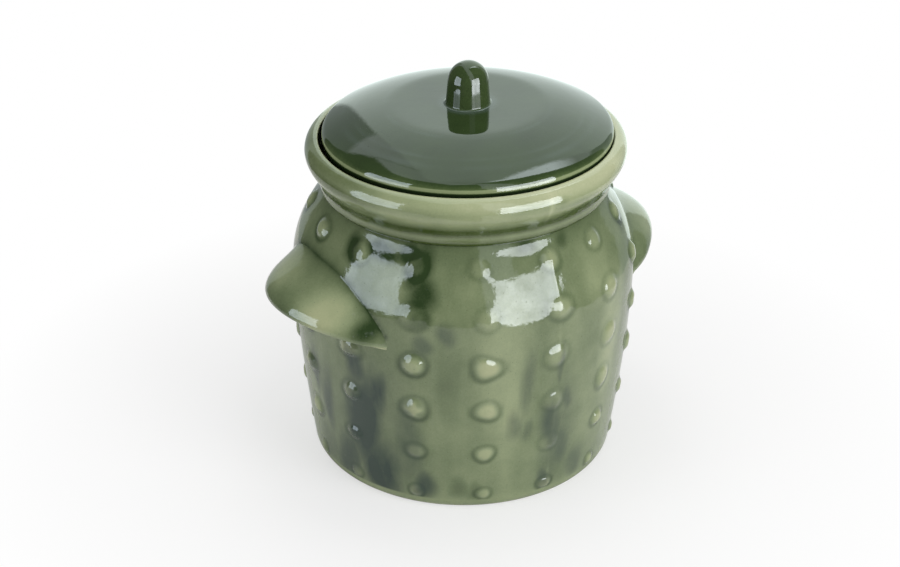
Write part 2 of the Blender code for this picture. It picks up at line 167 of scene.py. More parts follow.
# The float layers, and the glaze layer's usual value and its value under the foot
LAYERS = ("glaze", "milky", "bare")
EVEN_GLAZE = 0.5
FOOT_GLAZE = 0.4


# Mesh helpers

def smooth_step(low, high, values):
    t = np.clip((values - low) / (high - low), 0, 1)
    return t * t * (3 - 2 * t)


def wash(distance):
    """1 in the middle of a soft patch and 0 beyond it, at a distance in half widths."""
    return 1 - smooth_step(0.2, 1.1, distance)


def even_angles(count):
    return np.arange(count) * 2 * math.pi / count


def arc(centre_r, centre_z, radius, start, end, steps, tall=None):
    """Points (radius, height) along an arc, or an ellipse's, between two angles in degrees."""
    angles = np.radians(np.linspace(start, end, steps + 1))
    tall = radius if tall is None else tall
    return [(centre_r + radius * math.cos(a), centre_z + tall * math.sin(a)) for a in angles]


def straight(start, end, steps):
    """Points from just past the start to the end."""
    start, end = np.array(start), np.array(end)
    return [tuple(start + (end - start) * i / steps) for i in range(1, steps + 1)]


def upright(outline):
    """Radii and heights of an outline's points, each as a column."""
    radii, heights = np.array(outline, dtype=float).T
    return radii[:, None], heights[:, None]


def add_object(name, data):
    obj = bpy.data.objects.new(name, data)
    bpy.context.scene.collection.objects.link(obj)
    return obj


def add_mesh(name, points, faces, layers, finish, body, slot, *nodes):
    """A visible piece. A layer has one value for each point, or one for all of them."""
    mesh = bpy.data.meshes.new(name)
    mesh.from_pydata([tuple(p) for p in points], [], faces)
    for key, values in zip(LAYERS, layers):
        spread = np.array(np.broadcast_to(values, len(points)), dtype=np.float32)
        mesh.attributes.new(key, "FLOAT", "POINT").data.foreach_set("value", spread)
    mesh.materials.append(finish)
    mesh.shade_smooth()
    mesh.update()
    obj = add_object(name, mesh)
    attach(obj, body)
    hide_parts(*nodes)
    return obj


def turned_points(radii, heights, angles, centre=(0, 0)):
    """Grid of points: one row for each (radius, height), one column for each angle."""
    x = centre[0] + radii * np.sin(angles)
    y = centre[1] - radii * np.cos(angles)
    return np.stack([x, y, np.broadcast_to(heights, x.shape)], axis=-1)


def band_faces(low, high, columns):
    """Quads round the axis between two rows, given the number of each row's first point."""
    faces = []
    for k in range(columns):
        following = (k + 1) % columns
        faces.append((low + k, low + following, high + following, high + k))
    return faces


def turned_faces(rows, columns):
    """Faces of a grid closed round the axis, between a first pole and a last pole."""
    faces = []
    first, last = rows * columns, rows * columns + 1
    top = (rows - 1) * columns
    for k in range(columns):
        following = (k + 1) % columns
        faces.append((first, following, k))
        faces.append((last, top + k, top + following))
    for j in range(rows - 1):
        faces += band_faces(j * columns, (j + 1) * columns, columns)
    return faces


def swept_faces(sections, count):
    """Faces of a closed section of points that was swept, with one face on each end."""
    faces = []
    for i in range(sections - 1):
        a, b = i * count, (i + 1) * count
        for j in range(count):
            k = (j + 1) % count
            faces.append((a + j, a + k, b + k, b + j))
    faces.append(tuple(range(count))[::-1])
    faces.append(tuple((sections - 1) * count + j for j in range(count)))
    return faces


def flatten(grid, first, last):
    """Grid values as one list, with the values of the two poles at its end."""
    return np.concatenate([grid.reshape(-1, *grid.shape[2:]), [first], [last]])


# The pot's wall

def wall_radius(z):
    z = np.asarray(z, dtype=float)
    low_share = np.clip((BELLY_HEIGHT - z) / (BELLY_HEIGHT - FOOT_CORNER), 0, None)
    high_share = np.clip((z - BELLY_HEIGHT) / (SHOULDER_HEIGHT - BELLY_HEIGHT), 0, None)
    flare = (BELLY_RADIUS - FOOT_RADIUS - FOOT_CORNER) * low_share ** WALL_FLARE_POWER
    return BELLY_RADIUS - flare - (BELLY_RADIUS - SHOULDER_RADIUS) * high_share ** SHOULDER_POWER


def wall_normal(z):
    """(outward, upward) parts of the wall's normal."""
    step = 0.5 * MM
    slope = (wall_radius(z + step) - wall_radius(z - step)) / (2 * step)
    length = np.sqrt(1 + slope ** 2)
    return 1 / length, -slope / length


def angle_between(a, b):
    """Signed difference of two angles, from -pi to pi."""
    return (a - b + math.pi) % (2 * math.pi) - math.pi


def lean(points, slope=LEAN_TILT):
    """The pot's top as it slumped a little in the kiln: moved sideways and tilted."""
    points = np.array(points, dtype=float)
    share = smooth_step(LEAN_START, LEAN_END, points[:, 2])
    tilt = points[:, 0] * slope[0] + points[:, 1] * slope[1]
    points[:, 2] += tilt * share
    points[:, 0] += LEAN_SHIFT[0] * share
    points[:, 1] += LEAN_SHIFT[1] * share
    return points


# Lugs: the shapes that the wall's warts and glaze also follow

def lip_rise(share):
    return LUG_LIP_RISE * np.clip(np.cos(math.pi / 2 * share), 0, None) ** LUG_LIP_POWER


def arch_rise(share):
    crown = 1 - np.minimum(1, np.abs(share)) ** LUG_ARCH_POWER
    return LUG_END_HEIGHT + (LUG_HEIGHT - LUG_END_HEIGHT) * crown


def lug_stand_off(share, rise):
    """How far a lug stands off the wall, at a share of its half width and of its height."""
    below = np.clip((LUG_WIDEST_SHARE - rise) / LUG_WIDEST_SHARE, 0, None)
    above = np.clip((rise - LUG_WIDEST_SHARE) / (1 - LUG_WIDEST_SHARE), 0, 1)
    side = (1 - above ** 2) ** LUG_SIDE_POWER * (1 - LUG_UNDERCUT_SHARE * below ** 2)
    nose = np.clip(np.cos(math.pi / 2 * share), 0, None) ** LUG_NOSE_POWER
    edge = np.clip(1 - rise ** LUG_EDGE_POWER, 0, None) * (1 - smooth_step(0.7, 1, abs(share)))
    return LUG_RIM * edge + LUG_REACH * nose * side


def lug_share(angle):
    """Share of the nearer lug's half width, 0 at its middle and 1 at its end."""
    return np.arccos(np.clip(np.abs(np.sin(angle)), 0, 1)) / LUG_HALF_ANGLE


def above_lug(angle, z):
    """Height above the nearer lug's arch, and whether the angle is within the lug."""
    share = lug_share(angle)
    return z - LUG_UNDERSIDE - arch_rise(share), share < 1


def under_lug(angle, z, width):
    """Whether a lug covers a wart of this width."""
    share = lug_share(angle) - width / 2 / BELLY_RADIUS / LUG_HALF_ANGLE
    if share >= 1:
        return False
    share = max(0, float(share))
    above_lip = z > LUG_UNDERSIDE + lip_rise(share) - width / 2
    return bool(above_lip and z < LUG_UNDERSIDE + arch_rise(share) + width / 2)


# Vessel

# Places where the photograph shows a wart off its grid: (column, row): (around, up) in mm
WART_SHIFTS = {
    (14, 5): (-2.4, 1), (0, 5): (1.8, 0), (0, 4): (1.8, 0), (1, 4): (2, -1.5),
    (1, 3): (2, -1.5), (12, 1): (-1.3, 0), (12, 0): (-3.3, 0), (10, 4): (0, 5),
}
# Where the glaze crawled on a wart's top and left a cross: its arm's share of the wart's width
CRAWLED_WARTS = {(13, 2): 0.13}
# Warts that stayed pale but low: (column, row): share of height left
FLAT_WARTS = {(14, 3): 0.42, (14, 2): 0.5, (14, 1): 0.5, (14, 0): 0.6, (13, 1): 0.7}
# Warts that the glaze nearly levelled: (column, row): share of height and paleness left
DROWNED_WARTS = {
    (13, 5): 0.5, (13, 4): 0.45, (14, 5): 0.35, (14, 4): 0.3, (0, 5): 0.55, (0, 4): 0.55,
    (12, 5): 0.7, (0, 3): 0.45, (0, 2): 0.45, (0, 1): 0.4, (1, 5): 0.5, (1, 4): 0.5,
    (1, 3): 0.55, (1, 2): 0.7, (5, 4): 0.4, (6, 5): 0.5, (9, 4): 0.5,
}
# Swelling of the glaze over a drowned wart, as a share of its width
DROWNED_RISE = 0.1
# What the glaze layer loses on a wart's top, and gains in the ring round its foot
WART_TOP_GLAZE = 0.31
WART_RING_GLAZE = 0.26
# The wall's mesh: columns are closer together within the fine angle of each wart, in degrees
COLUMN_FINE = 5.2
COLUMN_FINE_STEPS = 19
COLUMN_COARSE_STEPS = 10
WALL_ROWS = 146

# Streaks where ash turned the glaze blue-grey: (angle in degrees, then height, half width and
# half height in mm, strength)
STREAKS = (
    (-67, 54, 18, 48, 1.05),
    (-61, 22, 20, 32, 1.02),
    (-78, 18, 15, 26, 0.85),
    (-90, 18, 14, 22, 0.5),
    (-66, 44, 34, 66, 0.36),
    (-86, 52, 8, 28, 0.8),
    (-52, 38, 13, 40, 0.62),
    (-70, 86, 9, 18, 1.1),
    (-61, 74, 9, 20, 1),
    (-93, 66, 6, 18, 0.7),
    (-46, 14, 10, 14, 0.9),
    (-37, 118, 7, 9, 0.6),
    (-45, 110, 7, 8, 0.6),
    (-10, 84, 5, 26, 0.5),
    (-14, 56, 6, 12, 0.5),
    (-9, 52, 4, 9, 0.5),
    (1, 52, 10, 26, 0.72),
    (5, 34, 9, 20, 0.62),
    (14, 18, 9, 16, 0.55),
    (6, 66, 5, 12, 0.75),
    (4, 44, 16, 44, 0.4),
    (-1, 14, 6, 10, 0.6),
    (2, 92, 3, 16, 0.6),
    (118, 50, 12, 34, 0.8),
    (134, 26, 9, 22, 0.7),
    (171, 78, 7, 30, 0.5),
    (205, 40, 12, 28, 0.7),
    (218, 84, 5, 26, 0.5),
    (52, 36, 7, 24, 0.6),
    (80, 22, 12, 16, 0.7),
)
# Places where the glaze ran thick and dark green: the same five values
POOLS = (
    (-47.5, 149, 10, 13, 0.9),
    (-46, 137, 11, 14, 0.85),
    (-46, 126, 8, 9, 0.8),
    (-76, 151, 9, 8, 1),
    (-63, 154, 14, 5, 1),
    (-52, 155, 12, 5, 1),
    (-33, 15, 7, 9, 0.4),
    (-27, 12, 6, 8, 0.4),
    (-36, 84, 9, 30, 0.3),
    (-8, 158, 9, 4, 0.5),
    (8, 157, 6, 4, 0.5),
    (48, 146, 9, 7, 0.5),
    (66, 150, 12, 6, 0.7),
    (150, 140, 9, 12, 0.8),
    (196, 150, 12, 8, 0.7),
    (236, 148, 10, 8, 0.6),
)
# Places where it ran thin and pale
THIN_AREAS = (
    (-17, 88, 18, 60, 1.3),
    (-20, 30, 14, 30, 0.5),
    (12, 60, 18, 50, 0.5),
    (27, 96, 14, 50, 1.2),
    (-75, 98, 10, 8, 0.8),
    (20, 138, 18, 20, 0.8),
    (60, 70, 16, 50, 0.6),
    (120, 100, 20, 40, 0.7),
    (190, 110, 18, 40, 0.6),
    (228, 60, 14, 40, 0.6),
)
# Thick roll of glaze just under the collar
GLAZE_ROLL = 1.5 * MM
ROLL_DROP = 1 * MM
ROLL_WIDTH = 4.4 * MM
# Faint ridges where the mould's halves met
SEAM_ANGLES = (math.radians(1), math.radians(181))
SEAM_HEIGHT = 0.16 * MM
SEAM_WIDTH = 1.1 * MM
SEAM_GLAZE = 0.12
# The glaze layer's change, and over what height: below the collar, at the foot, above a lug
COLLAR_POOL = (0.28, 4 * MM)
FOOT_THINNING = (0.12, 3 * MM)
ARCH_POOL = (0.4, 2.5 * MM)
# The glaze layer's change at full strength in the pools and in the thin areas
POOL_GLAZE = 0.5
THIN_GLAZE = 0.16
# The foot's rounded corner in the mesh, and how many of its points stayed bare
FOOT_CORNER_STEPS = 8
BARE_CORNER_POINTS = 3


def wart_angles():
    """Column angles, closer together across each wart."""
    spacing = 360 / WART_COLUMNS
    fine = np.linspace(-COLUMN_FINE, COLUMN_FINE, COLUMN_FINE_STEPS + 1)
    coarse = np.linspace(COLUMN_FINE, spacing - COLUMN_FINE, COLUMN_COARSE_STEPS + 1)[1:-1]
    one = np.concatenate([fine, coarse])
    return np.radians(np.concatenate([one + spacing * k for k in range(WART_COLUMNS)]))


def wart_places():
    """(column, row, angle, height, width) of each wart on the wall."""
    span = SHOULDER_HEIGHT - WART_TOP_DROP - WART_FIRST_ROW
    places = []
    for column in range(WART_COLUMNS):
        angle = 2 * math.pi * column / WART_COLUMNS
        for row, (share, width) in enumerate(zip(WART_ROW_SHARES, WART_WIDTHS)):
            z = WART_FIRST_ROW + span * share
            if not under_lug(angle, z, width):
                places.append((column, row, angle, z, width))
    return places


def add_warts(angles, heights, lift, glaze):
    """Raises the warts on the wall's grid and thins the glaze on them."""
    normal_out = wall_normal(heights)[0]
    for column, row, angle, z, width in wart_places():
        around, up = WART_SHIFTS.get((column, row), (0, 0))
        paleness = DROWNED_WARTS.get((column, row), 1)
        # Small differences: these draws keep their order, or every wart changes
        around = around * MM + RNG.normal(0, 0.35 * MM)
        up = up * MM + RNG.normal(0, 0.3 * MM)
        width = width * (1 + RNG.normal(0, 0.04))
        squash = 1 + RNG.normal(0, 0.05)
        lobes = RNG.normal(0, 0.03, 2)
        turn = RNG.uniform(0, 2 * math.pi)
        z = z + up
        r = float(wall_radius(z))
        centre = angle + around / r
        rows = np.abs(heights[:, 0] - z) < width * WART_SPREAD
        columns = np.abs(angle_between(angles, centre)) * r < width * WART_SPREAD
        patch = np.ix_(rows, columns)
        u = angle_between(angles, centre)[None, columns] * r
        v = ((heights - z) / normal_out)[rows]
        polar = np.arctan2(v, u) + turn
        reach = 1 + lobes[0] * np.cos(2 * polar) + lobes[1] * np.cos(3 * polar)
        rho = np.hypot(u * squash, v / squash) / (width / 2 * reach)
        height = width * WART_HEIGHT_SHARE * paleness * (1 + RNG.normal(0, 0.06))
        height *= FLAT_WARTS.get((column, row), 1)
        button = 1 - smooth_step(0.38, 1.12, rho)
        dome = np.clip(1 - rho ** 2, 0, 1)
        shape = height * (0.88 * button + 0.12 * dome)
        shape += DROWNED_RISE * width * (1 - paleness) * np.exp(-(rho / 1.2) ** 2)
        lift[patch] = np.maximum(lift[patch], shape)
        paleness *= RNG.uniform(0.75, 1.1)
        top = 1 - smooth_step(0.45, 1.0, rho)
        ring = np.exp(-((rho - 1.22) / 0.24) ** 2) * (1 - 0.4 * np.sin(np.arctan2(v, u)))
        glaze[patch] += paleness * (WART_RING_GLAZE * ring - WART_TOP_GLAZE * top)
        if (column, row) in CRAWLED_WARTS:
            arm = CRAWLED_WARTS[column, row] * width
            arms = np.exp(-(u / arm) ** 2) + np.exp(-(v / arm) ** 2)
            between_arms = top * (1 - np.clip(arms, 0, 1))
            glaze[patch] += 0.35 * between_arms
            lift[patch] -= 0.25 * height * between_arms


def blotch(angles, heights, places):
    """Soft patches on the wall, the stronger on top, each with an edge that a wave bends."""
    total = np.zeros((len(heights), len(angles)))
    for degrees, *lengths, strength in places:
        z, half_width, half_height = [length * MM for length in lengths]
        u = angle_between(angles, math.radians(degrees)) * BELLY_RADIUS
        v = heights - z
        u = u + 0.1 * half_width * np.sin(v / half_height * 3 + degrees)
        v = v + 0.1 * half_height * np.sin(u / half_width * 3 + degrees)
        distance = np.sqrt((u / half_width) ** 2 + (v / half_height) ** 2)
        total = np.maximum(total, strength * (1 - smooth_step(0.25, 1.2, distance)))
    return total


def wall_waves(angles, heights):
    """The slight unevenness of a pressed and hand-finished wall."""
    a, z = angles, heights / MM
    waves = 0.16 * np.sin(2 * a + 0.4) + 0.1 * np.sin(3 * a - z / 31)
    waves = waves + 0.06 * np.sin(5 * a + z / 17 + 1) + 0.05 * np.sin(9 * a - z / 12)
    return waves * MM


def foot_outline():
    """Outline from near the axis, over the foot ring and round the foot's corner."""
    foot_inner = FOOT_RADIUS - FOOT_RING_WIDTH
    outline = straight((0, FOOT_RECESS), (foot_inner - FOOT_RECESS, FOOT_RECESS), 4)
    outline += arc(foot_inner - FOOT_RECESS, 0, FOOT_RECESS, 90, 30, 4)[1:]
    outline += [(foot_inner + FOOT_RECESS / 4, 0)]
    return outline + arc(FOOT_RADIUS, FOOT_CORNER, FOOT_CORNER, -90, 0, FOOT_CORNER_STEPS)


def inside_outline():
    """Outline from the shoulder's ledge, over the neck's rim and down to near the axis."""
    neck_round = NECK_WALL / 2
    outline = [(NECK_RADIUS, SHOULDER_HEIGHT)]
    outline += arc(NECK_RADIUS - neck_round, NECK_TOP - neck_round, neck_round, 0, 180, 10)
    outline += [(NECK_RADIUS - NECK_WALL, SHOULDER_HEIGHT)]
    corner_z = FLOOR_THICKNESS + FLOOR_CORNER
    corner_r = float(wall_radius(corner_z)) - WALL - FLOOR_CORNER
    for z in np.linspace(SHOULDER_HEIGHT - WALL, corner_z, 40):
        outline.append((float(wall_radius(z)) - WALL, z))
    outline += arc(corner_r, corner_z, FLOOR_CORNER, 0, -90, 8)[1:]
    return outline + straight((corner_r, FLOOR_THICKNESS), (corner_r / 8, FLOOR_THICKNESS), 5)


def fading(distance, change, reach):
    return change * np.exp(-distance / reach)


def wall_surface(angles, heights):
    """How far the wall stands off its turned shape, and how thick its glaze is."""
    share = (heights - FOOT_CORNER) / (SHOULDER_HEIGHT - FOOT_CORNER)
    lift = wall_waves(angles, heights)
    lift *= np.sqrt(np.clip(np.sin(math.pi * share), 0, 1))
    warts = np.zeros_like(lift)
    glaze = np.full_like(lift, EVEN_GLAZE)
    add_warts(angles, heights, warts, glaze)
    lift += warts
    for seam in SEAM_ANGLES:
        distance = np.abs(angle_between(angles, seam)) * BELLY_RADIUS
        strength = 0.6 + 0.4 * np.sin(heights / MM / 7)
        ridge = strength * np.exp(-(distance / SEAM_WIDTH) ** 2)
        lift += SEAM_HEIGHT * ridge
        glaze -= SEAM_GLAZE * ridge
    below_roll = SHOULDER_HEIGHT - ROLL_DROP - heights
    lift += GLAZE_ROLL * np.exp(-(below_roll / ROLL_WIDTH) ** 2)
    glaze += fading(SHOULDER_HEIGHT - heights, *COLLAR_POOL)
    glaze -= fading(heights - FOOT_CORNER, *FOOT_THINNING)
    glaze += POOL_GLAZE * blotch(angles, heights, POOLS)
    glaze -= THIN_GLAZE * blotch(angles, heights, THIN_AREAS)
    over, within = above_lug(angles, heights)
    glaze += np.where(within & (over > -2 * MM), fading(np.abs(over), *ARCH_POOL), 0)
    return lift, glaze


def make_vessel(finish):
    angles = wart_angles()
    foot = foot_outline()
    inside = inside_outline()
    wall_z = np.linspace(FOOT_CORNER, SHOULDER_HEIGHT, WALL_ROWS + 1)[1:, None]
    lift, glaze = wall_surface(angles, wall_z)
    out, up = wall_normal(wall_z)
    wall = turned_points(wall_radius(wall_z) + lift * out, wall_z + lift * up, angles)
    grid = np.concatenate([turned_points(*upright(foot), angles), wall,
                           turned_points(*upright(inside), angles)])
    rows, columns = grid.shape[:2]
    foot_zero = np.zeros((len(foot), columns))
    inside_zero = np.zeros((len(inside), columns))
    glaze = np.concatenate([foot_zero + FOOT_GLAZE, glaze, inside_zero + EVEN_GLAZE])
    milky = np.concatenate([foot_zero, blotch(angles, wall_z, STREAKS), inside_zero])
    bare_rows = len(foot) - FOOT_CORNER_STEPS - 1 + BARE_CORNER_POINTS
    bare = np.repeat(np.arange(rows) < bare_rows, columns)
    points = lean(flatten(grid, (0, 0, FOOT_RECESS), (0, 0, FLOOR_THICKNESS)))
    layers = (flatten(glaze, FOOT_GLAZE, EVEN_GLAZE), flatten(milky, 0, 0), flatten(bare, 1, 0))
    add_mesh("pot_glazed", points, turned_faces(rows, columns), layers, finish,
             "crock", "body_glaze", "crock_vessel")


# Collar

# The collar's glaze layer up its height, pale at the crest and darker towards the bottom: (share
# of its height, value)
COLLAR_GLAZE = ((0, 1.15), (0.06, 0.85), (0.14, 0.6), (0.22, 0.94), (0.32, 0.96), (0.4, 0.64),
                (0.5, 0.4), (0.6, 0.36), (0.7, 0.46), (0.82, 0.3), (0.92, 0.24), (1, 0.16))
# Where it is darker or, below zero, paler: (degrees, share of height, half widths, change).
# Partly glaze; the darker washes on the left side and the paler ones towards the right are also
# painted shade and light, for light that falls more from the right
COLLAR_WASHES = (
    (-92, 0.68, 36, 0.14, 0.32),
    (-105, 0.92, 50, 0.24, 0.55),
    (-60, 0.93, 30, 0.1, 0.14),
    (-72, 0.5, 20, 0.1, 0.18),
    (-44, 0.75, 14, 0.2, 0.1),
    (-20, 0.72, 10, 0.25, -0.08),
    (-1, 0.7, 1.2, 0.5, -0.22),
    (3, 0.72, 3, 0.2, 0.12),
    (12, 0.6, 12, 0.08, 0.2),
    (30, 0.78, 34, 0.3, -0.24),
    (-30, 0.75, 20, 0.22, -0.08),
    (-8, 0.88, 22, 0.12, -0.12),
    (20, 0.42, 22, 0.12, 0.25),
    (75, 0.7, 30, 0.12, 0.2),
    (120, 0.6, 24, 0.2, 0.2),
    (178, 0.7, 30, 0.14, 0.25),
    (225, 0.65, 24, 0.2, 0.15),
)
COLLAR_COLUMNS = 288


def collar_outline():
    """Closed outline: bead, flare, crest and lip outside, then the trough."""
    inner = NECK_RADIUS + SEAT_GAP
    bead_r = SHOULDER_RADIUS + COLLAR_BEAD_WIDTH
    bead_z = COLLAR_LOW.z + COLLAR_BEAD_HEIGHT
    widest_z = COLLAR_TOP - COLLAR_CREST
    crest_r = TROUGH_RADIUS + COLLAR_LIP
    sunk_z = SHOULDER_HEIGHT - COLLAR_SINK
    lip_z = CREST_TOP - COLLAR_LIP
    corner_z = TROUGH_FLOOR + TROUGH_CORNER
    outline = [(inner, sunk_z), (SHOULDER_RADIUS - MM, sunk_z)]
    outline += arc(SHOULDER_RADIUS, bead_z, COLLAR_BEAD_WIDTH, -90, 0, 8, bead_z - sunk_z)
    for share in np.linspace(0, 1, 25)[1:-1]:
        r = bead_r + (COLLAR_RADIUS - bead_r) * (1 - math.cos(math.pi * share)) / 2
        outline.append((r, bead_z + (widest_z - bead_z) * share))
    crest_width = COLLAR_RADIUS - crest_r
    outline += arc(crest_r, widest_z, crest_width, 0, 90, 20, CREST_TOP - widest_z)
    outline += arc(crest_r, lip_z, COLLAR_LIP, 90, 180, 6)[1:]
    outline += straight((TROUGH_RADIUS, lip_z), (TROUGH_RADIUS, corner_z), 6)
    outline += arc(TROUGH_RADIUS - TROUGH_CORNER, corner_z, TROUGH_CORNER, 0, -90, 6)[1:]
    outline.append((inner, TROUGH_FLOOR))
    return outline


def make_collar(finish):
    """The collar. Its milky layer is painted shade, near black, inside the gap beside the lid."""
    r, z = upright(collar_outline())
    angles = even_angles(COLLAR_COLUMNS)
    outside = smooth_step(SHOULDER_RADIUS, SHOULDER_RADIUS + 8 * MM, r)
    wave = 0.12 * np.sin(2 * angles + 1) + 0.08 * np.sin(5 * angles + z / MM / 9)
    grid = turned_points(r + wave * MM * outside, z, angles)
    rows, columns = grid.shape[:2]
    faces = []
    for j in range(rows):
        faces += band_faces(j * columns, (j + 1) % rows * columns, columns)
    rise = (z - SHOULDER_HEIGHT) / (COLLAR_TOP - SHOULDER_HEIGHT)
    crest = np.exp(-((r - TROUGH_RADIUS - 1.4 * MM) / (1.1 * MM)) ** 2)
    glaze = np.interp(rise, *zip(*COLLAR_GLAZE)) - 0.16 * crest * (z > CREST_TOP - 3 * MM)
    for degrees, share, half_angle, half_share, change in COLLAR_WASHES:
        across = np.degrees(angle_between(angles, math.radians(degrees))) / half_angle
        distance = np.hypot(across, (rise - share) / half_share)
        glaze = glaze + change * wash(distance) * (r > TROUGH_RADIUS + MM)
    # Painted shade: near black on the trough's inner wall below the crest, lighter deeper down
    past_crest = np.arange(rows)[:, None] > np.argmax(z)
    depth = CREST_TOP - z
    shade = past_crest * (1 - smooth_step(TROUGH_RADIUS + 0.3 * MM, TROUGH_RADIUS + MM, r))
    shade = shade * smooth_step(0.1 * MM, 0.9 * MM, depth)
    shade = shade * (1 - 0.6 * smooth_step(6 * MM, 14 * MM, depth))
    layers = (glaze.reshape(-1), np.repeat(shade[:, 0], columns), 0)
    add_mesh("collar_glazed", lean(grid.reshape(-1, 3)), faces, layers, finish,
             "crock", "collar_glaze", "water_seal_collar")


# Lid and knob

# The glaze layer's usual value on the lid, deeper than the knob's as painted shade for the little
# light that falls on its top, and its gain on the skirt, painted shade in the gap beside the
# collar
LID_DEPTH_AND_SHADE = 0.64
SKIRT_SHADE = 1.6
# Where it changes over the edge: (height above the edge and half width in mm, change)
LID_EDGE_WASHES = ((0.6, 0.9, -0.9), (2, 2.2, -0.2))
# Faint pale rings in the lid's glaze, which come and go round it: (radius, width), strength
LID_RINGS = ((69 * MM, 1.6 * MM), (63 * MM, 0.9 * MM), (46 * MM, 1.2 * MM))
RING_STRENGTH = 0.25
# Half the angle in which a gas notch's columns lie closer together, in degrees
NOTCH_HALF_ANGLE = 4
CROWN_STEPS = 64
KNOB_SINK = 0.6 * MM
KNOB_COLUMNS = 72


def lid_edge_point(angle):
    r = LID_RADIUS - LID_EDGE_WIDTH * (1 - math.cos(angle))
    return r, LID_EDGE_HEIGHT + LID_EDGE_RISE * math.sin(angle)


def dome_height(r):
    """The domed crown with its middle sunk flat, and a low mound under the knob."""
    dome_radius, dome_z = lid_edge_point(LID_EDGE_TURN)
    fall = (LID_APEX - dome_z) * (r / dome_radius) ** LID_DOME_POWER
    sunk = DISH_BLEND * np.logaddexp(fall / DISH_BLEND, LID_DISH / DISH_BLEND)
    return LID_APEX - sunk + KNOB_MOUND * np.exp(-(r / MOUND_REACH) ** 2)


def lid_outline():
    """From under the crown, round the skirt and the rolled edge, to the top of the crown."""
    foot_r = LID_RADIUS - SKIRT_TAPER
    foot_inner = foot_r - SKIRT_THICKNESS
    under_r = foot_inner - LID_THICKNESS
    outline = [(r, dome_height(r) - LID_THICKNESS) for r in np.linspace(under_r / 8, under_r, 8)]
    fillet_z = outline[-1][1] - LID_THICKNESS
    outline += arc(under_r, fillet_z, LID_THICKNESS, 78, 0, 6)
    foot_round = SKIRT_THICKNESS / 2
    outline += straight((foot_inner, fillet_z), (foot_inner, LID_FOOT + foot_round), 6)
    outline += arc(foot_r - foot_round, LID_FOOT + foot_round, foot_round, -180, 0, 10)[1:]
    outline += straight((foot_r, LID_FOOT + foot_round), (LID_RADIUS, LID_EDGE_HEIGHT), 8)
    outline += [lid_edge_point(angle) for angle in np.linspace(0, LID_EDGE_TURN, 13)[1:]]
    dome_radius = outline[-1][0]
    crown_radii = np.linspace(dome_radius, dome_radius / CROWN_STEPS, CROWN_STEPS)[1:]
    return outline + [(r, dome_height(r)) for r in crown_radii]


def make_lid(finish):
    notch = np.linspace(-NOTCH_HALF_ANGLE, NOTCH_HALF_ANGLE, 17)
    plain = np.linspace(NOTCH_HALF_ANGLE, 180 - NOTCH_HALF_ANGLE, 120)[1:-1]
    half_turn = np.radians(np.concatenate([notch, plain]))
    angles = np.concatenate([half_turn, half_turn + math.pi])
    r, z = upright(lid_outline())
    sideways = np.abs(r * np.sin(angles))
    notch_rise = np.sqrt(np.clip(GAS_NOTCH_RADIUS ** 2 - sideways ** 2, 0, None))
    share = np.clip(1 - (z - LID_FOOT) / (4 * GAS_NOTCH_RADIUS), 0, 1)
    on_skirt = r > LID_RADIUS - SKIRT_TAPER - SKIRT_THICKNESS - MM
    grid = turned_points(r, z + notch_rise * share * on_skirt, angles, LID_AXIS)
    rows, columns = grid.shape[:2]
    above_edge = (z - LID_EDGE_HEIGHT) / MM
    # Painted shade: the skirt below the rolled edge darkens, as in the gap beside the collar
    in_gap = smooth_step(-0.1, 0.8, -above_edge) * (1 - smooth_step(6, 13, -above_edge))
    outer_skirt = r > LID_RADIUS - SKIRT_TAPER - 0.1 * MM
    glaze = LID_DEPTH_AND_SHADE + SKIRT_SHADE * in_gap * outer_skirt
    on_edge = r > LID_RADIUS - LID_EDGE_WIDTH
    for height, width, change in LID_EDGE_WASHES:
        glaze = glaze + change * np.exp(-((above_edge - height) / width) ** 2) * on_edge
    crown = z > LID_EDGE_HEIGHT
    foot = np.exp(-((r - KNOB_RADIUS - 2 * MM) / (2 * MM)) ** 2)
    rings = sum(np.exp(-((r - ring) / width) ** 2) for ring, width in LID_RINGS)
    around = 0.5 + 0.5 * np.sin(3 * angles + 1.2) * np.sin(7 * angles)
    milky = (0.5 * foot + RING_STRENGTH * rings * around) * crown
    poles = ((*LID_AXIS, dome_height(0) - LID_THICKNESS), (*LID_AXIS, dome_height(0)))
    points = lean(flatten(grid, *poles), LID_TILT)
    glaze = np.broadcast_to(glaze, milky.shape)
    layers = (flatten(glaze, EVEN_GLAZE, EVEN_GLAZE), flatten(milky, 0, 1), 0)
    add_mesh("lid_glazed", points, turned_faces(rows, columns), layers, finish,
             "lid", "lid_glaze", "lid")


def make_knob(finish):
    """The knob, with the glaze's fillet spreading from its foot onto the lid."""
    top_radius = KNOB_RADIUS - KNOB_TAPER
    ball_z = KNOB_TOP - top_radius
    foot_r = KNOB_RADIUS + KNOB_FILLET
    foot_z = float(dome_height(foot_r))
    outline = [(KNOB_RADIUS * 0.6, foot_z - KNOB_SINK), (foot_r, foot_z - 0.15 * MM)]
    outline += arc(foot_r, foot_z + KNOB_FILLET, KNOB_FILLET, -90, -180, 8)[1:]
    outline += straight((KNOB_RADIUS, foot_z + KNOB_FILLET), (top_radius, ball_z), 6)
    outline += arc(0, ball_z, top_radius, 0, 86, 20)[1:]
    r, z = upright(outline)
    grid = turned_points(r, z, even_angles(KNOB_COLUMNS), LID_AXIS)
    rows, columns = grid.shape[:2]
    milky = np.repeat(0.9 * smooth_step(KNOB_RADIUS, KNOB_RADIUS + 1.5 * MM, r), columns, axis=1)
    poles = ((*LID_AXIS, foot_z - KNOB_SINK), (*LID_AXIS, KNOB_TOP))
    points = lean(flatten(grid, *poles), LID_TILT)
    layers = (EVEN_GLAZE, flatten(milky, 0, 0), 0)
    add_mesh("knob_glazed", points, turned_faces(rows, columns), layers, finish,
             "lid", "lid_glaze", "lid_knob")


# Lug meshes

LUG_COLUMNS = 96
# How far the open back of a lug reaches into the wall, and how far its tips sink
LUG_ROOT = 1.2 * MM
LUG_END_SINK = 0.8 * MM
